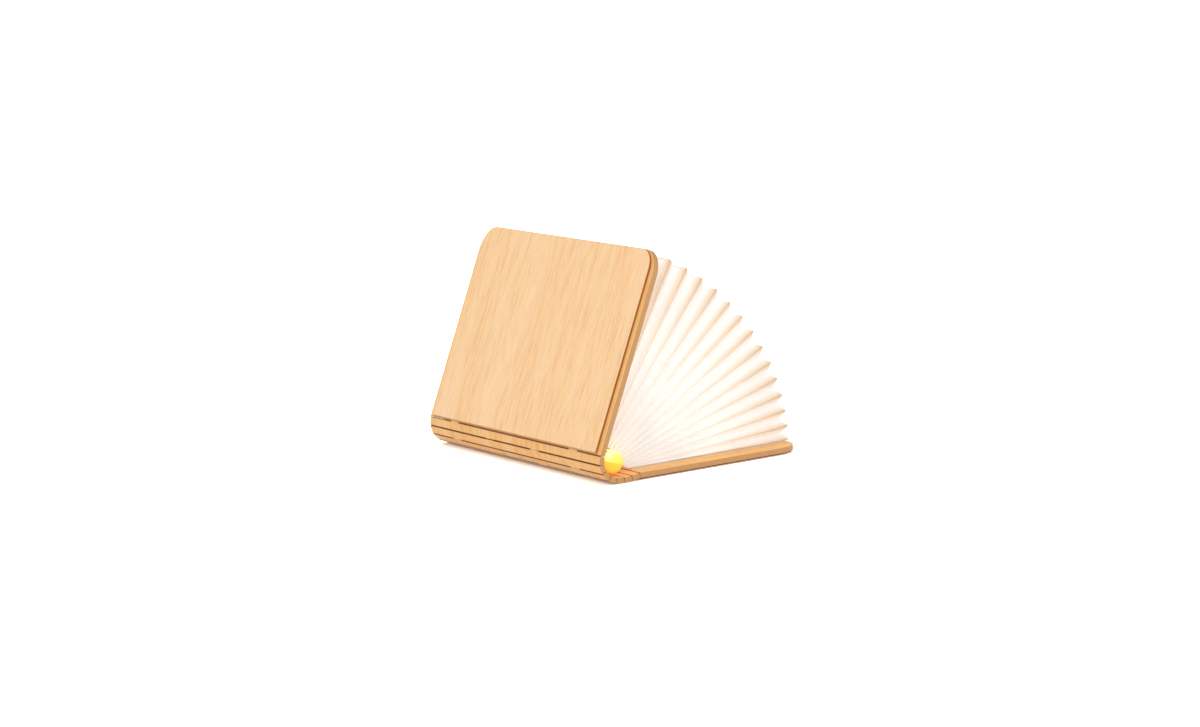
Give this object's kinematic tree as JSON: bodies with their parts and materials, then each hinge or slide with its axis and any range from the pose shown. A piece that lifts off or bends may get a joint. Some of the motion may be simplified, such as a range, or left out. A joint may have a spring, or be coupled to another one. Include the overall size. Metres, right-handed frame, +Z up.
{
  "type": "folding book lamp",
  "caption": "Lamp shaped like a small timber book: covers on a kerf-cut spine, a pleated paper shade that fans out between them and a light bar in the fold.",
  "frame": {"origin": "on the ground under the middle of the back cover's outer panel, at half the length of the spine", "axes": "+Y along the spine, towards the end with the charging socket; +X from the spine to the fore edge of the back cover; +Z up"},
  "size_m": [0.0819, 0.122, 0.0773],
  "materials": {
    "board_timber": "laser-cut board, fine straight grain, satin",
    "panel_timber": "pale veneer, grain across the book, satin",
    "shade_paper": "folded translucent paper, matt",
    "end_paper": "glued paper, matt",
    "diffuser_plastic": "milky translucent plastic",
    "tray_plastic": "white moulded plastic",
    "foam_tape": "double-sided foam tape",
    "circuit_board": "solder-masked glass-fibre board",
    "led_lens": "phosphor under clear resin",
    "cell_foil": "foil pouch",
    "lead_insulation": "flexible insulation",
    "socket_steel": "plated pressed steel",
    "light_pipe": "clear moulded plastic",
    "switch_glass": "sealed glass tube",
    "magnet_nickel": "nickel plating"
  },
  "bodies": {
    "back_cover": {"back_board": "board_timber", "back_panel": "panel_timber", "back_end_paper": "end_paper", "back_magnets": "magnet_nickel"},
    "kerf_1": {"kerf_bridge_1": "board_timber", "page_pleat_1": "shade_paper"},
    "stave_1": {"spine_stave_1": "board_timber", "page_pleat_2": "shade_paper"},
    "kerf_2": {"kerf_bridge_2": "board_timber", "page_pleat_3": "shade_paper"},
    "stave_2": {"spine_stave_2": "board_timber", "page_pleat_4": "shade_paper"},
    "kerf_3": {"kerf_bridge_3": "board_timber", "page_pleat_5": "shade_paper"},
    "stave_3": {"spine_stave_3": "board_timber", "page_pleat_6": "shade_paper"},
    "kerf_4": {"kerf_bridge_4": "board_timber", "page_pleat_7": "shade_paper"},
    "stave_4": {"spine_stave_4": "board_timber", "page_pleat_8": "shade_paper"},
    "kerf_5": {"kerf_bridge_5": "board_timber", "page_pleat_9": "shade_paper"},
    "stave_5": {"spine_stave_5": "board_timber", "bar_foot": "foam_tape", "bar_tray": "tray_plastic", "bar_diffuser": "diffuser_plastic", "bar_cap_near": "diffuser_plastic", "bar_cap_far": "tray_plastic", "led_board": "circuit_board", "leds": "led_lens", "cell": "cell_foil", "cell_leads": "lead_insulation", "charge_board": "circuit_board", "charge_socket": "socket_steel", "charge_light": "light_pipe", "lid_switch": "switch_glass", "page_pleat_10": "shade_paper"},
    "kerf_6": {"kerf_bridge_6": "board_timber", "page_pleat_11": "shade_paper"},
    "stave_6": {"spine_stave_6": "board_timber", "page_pleat_12": "shade_paper"},
    "kerf_7": {"kerf_bridge_7": "board_timber", "page_pleat_13": "shade_paper"},
    "stave_7": {"spine_stave_7": "board_timber", "page_pleat_14": "shade_paper"},
    "kerf_8": {"kerf_bridge_8": "board_timber", "page_pleat_15": "shade_paper"},
    "front_cover": {"front_board": "board_timber", "front_panel": "panel_timber", "front_end_paper": "end_paper", "front_magnets": "magnet_nickel", "switch_magnet": "magnet_nickel"}
  },
  "joints": [
    {"name": "fold_1_in", "type": "hinge", "parent": "back_cover", "child": "kerf_1", "pos_m": [-0.03335, 0, 0.00125], "axis": [0, -1, 0], "range_deg": [-0.31, 1.28]},
    {"name": "fold_1_out", "type": "hinge", "parent": "kerf_1", "child": "stave_1", "pos_m": [-0.03335, 0, 0.00125], "axis": [0, -1, 0], "range_deg": [-3.73, 16.35]},
    {"name": "fold_2_in", "type": "hinge", "parent": "stave_1", "child": "kerf_2", "pos_m": [-0.03647, 0, 0.00081], "axis": [0, -1, 0], "range_deg": [-4.17, 18.26]},
    {"name": "fold_2_out", "type": "hinge", "parent": "kerf_2", "child": "stave_2", "pos_m": [-0.03647, 0, 0.00081], "axis": [0, -1, 0], "range_deg": [-4.38, 19.18]},
    {"name": "fold_3_in", "type": "hinge", "parent": "stave_2", "child": "kerf_3", "pos_m": [-0.03961, 0, 0.00052], "axis": [0, -1, 0], "range_deg": [-4.52, 19.82]},
    {"name": "fold_3_out", "type": "hinge", "parent": "kerf_3", "child": "stave_3", "pos_m": [-0.03961, 0, 0.00052], "axis": [0, -1, 0], "range_deg": [-4.64, 20.31]},
    {"name": "fold_4_in", "type": "hinge", "parent": "stave_3", "child": "kerf_4", "pos_m": [-0.04275, 0, 0.00079], "axis": [0, -1, 0], "range_deg": [-4.73, 20.72]},
    {"name": "fold_4_out", "type": "hinge", "parent": "kerf_4", "child": "stave_4", "pos_m": [-0.04275, 0, 0.00079], "axis": [0, -1, 0], "range_deg": [-4.81, 21.06]},
    {"name": "opening", "type": "hinge", "parent": "stave_4", "child": "kerf_5", "pos_m": [-0.04564, 0, 0.00203], "axis": [0, -1, 0], "range_deg": [-4.85, 21.34], "deforming": ["page_pleat_1", "page_pleat_2", "page_pleat_3", "page_pleat_4", "page_pleat_5", "page_pleat_6", "page_pleat_7", "page_pleat_8", "page_pleat_9", "page_pleat_10", "page_pleat_11", "page_pleat_12", "page_pleat_13", "page_pleat_14", "page_pleat_15"]},
    {"name": "fold_5_out", "type": "hinge", "parent": "kerf_5", "child": "stave_5", "pos_m": [-0.04564, 0, 0.00203], "axis": [0, -1, 0], "range_deg": [-4.93, 21.63]},
    {"name": "fold_6_in", "type": "hinge", "parent": "stave_5", "child": "kerf_6", "pos_m": [-0.04773, 0, 0.00439], "axis": [0, -1, 0], "range_deg": [-4.99, 21.87]},
    {"name": "fold_6_out", "type": "hinge", "parent": "kerf_6", "child": "stave_6", "pos_m": [-0.04773, 0, 0.00439], "axis": [0, -1, 0], "range_deg": [-5.04, 22.09]},
    {"name": "fold_7_in", "type": "hinge", "parent": "stave_6", "child": "kerf_7", "pos_m": [-0.04854, 0, 0.00743], "axis": [0, -1, 0], "range_deg": [-5.08, 22.28]},
    {"name": "fold_7_out", "type": "hinge", "parent": "kerf_7", "child": "stave_7", "pos_m": [-0.04854, 0, 0.00743], "axis": [0, -1, 0], "range_deg": [-5.13, 22.47]},
    {"name": "fold_8_in", "type": "hinge", "parent": "stave_7", "child": "kerf_8", "pos_m": [-0.04809, 0, 0.01055], "axis": [0, -1, 0], "range_deg": [-5.16, 22.64]},
    {"name": "fold_8_out", "type": "hinge", "parent": "kerf_8", "child": "front_cover", "pos_m": [-0.04809, 0, 0.01055], "axis": [0, -1, 0], "range_deg": [-0.54, 2.29]}
  ],
  "couplings": [
    {"joint": "fold_1_in", "follows": "opening", "ratio": 0.05896},
    {"joint": "fold_1_out", "follows": "opening", "ratio": 0.76534},
    {"joint": "fold_2_in", "follows": "opening", "ratio": 0.85449},
    {"joint": "fold_2_out", "follows": "opening", "ratio": 0.89784},
    {"joint": "fold_3_in", "follows": "opening", "ratio": 0.92779},
    {"joint": "fold_3_out", "follows": "opening", "ratio": 0.95092},
    {"joint": "fold_4_in", "follows": "opening", "ratio": 0.96987},
    {"joint": "fold_4_out", "follows": "opening", "ratio": 0.98597},
    {"joint": "fold_5_out", "follows": "opening", "ratio": 1.0125},
    {"joint": "fold_6_in", "follows": "opening", "ratio": 1.0237},
    {"joint": "fold_6_out", "follows": "opening", "ratio": 1.0339},
    {"joint": "fold_7_in", "follows": "opening", "ratio": 1.0432},
    {"joint": "fold_7_out", "follows": "opening", "ratio": 1.0519},
    {"joint": "fold_8_in", "follows": "opening", "ratio": 1.06},
    {"joint": "fold_8_out", "follows": "opening", "ratio": 0.10642}
  ]
}
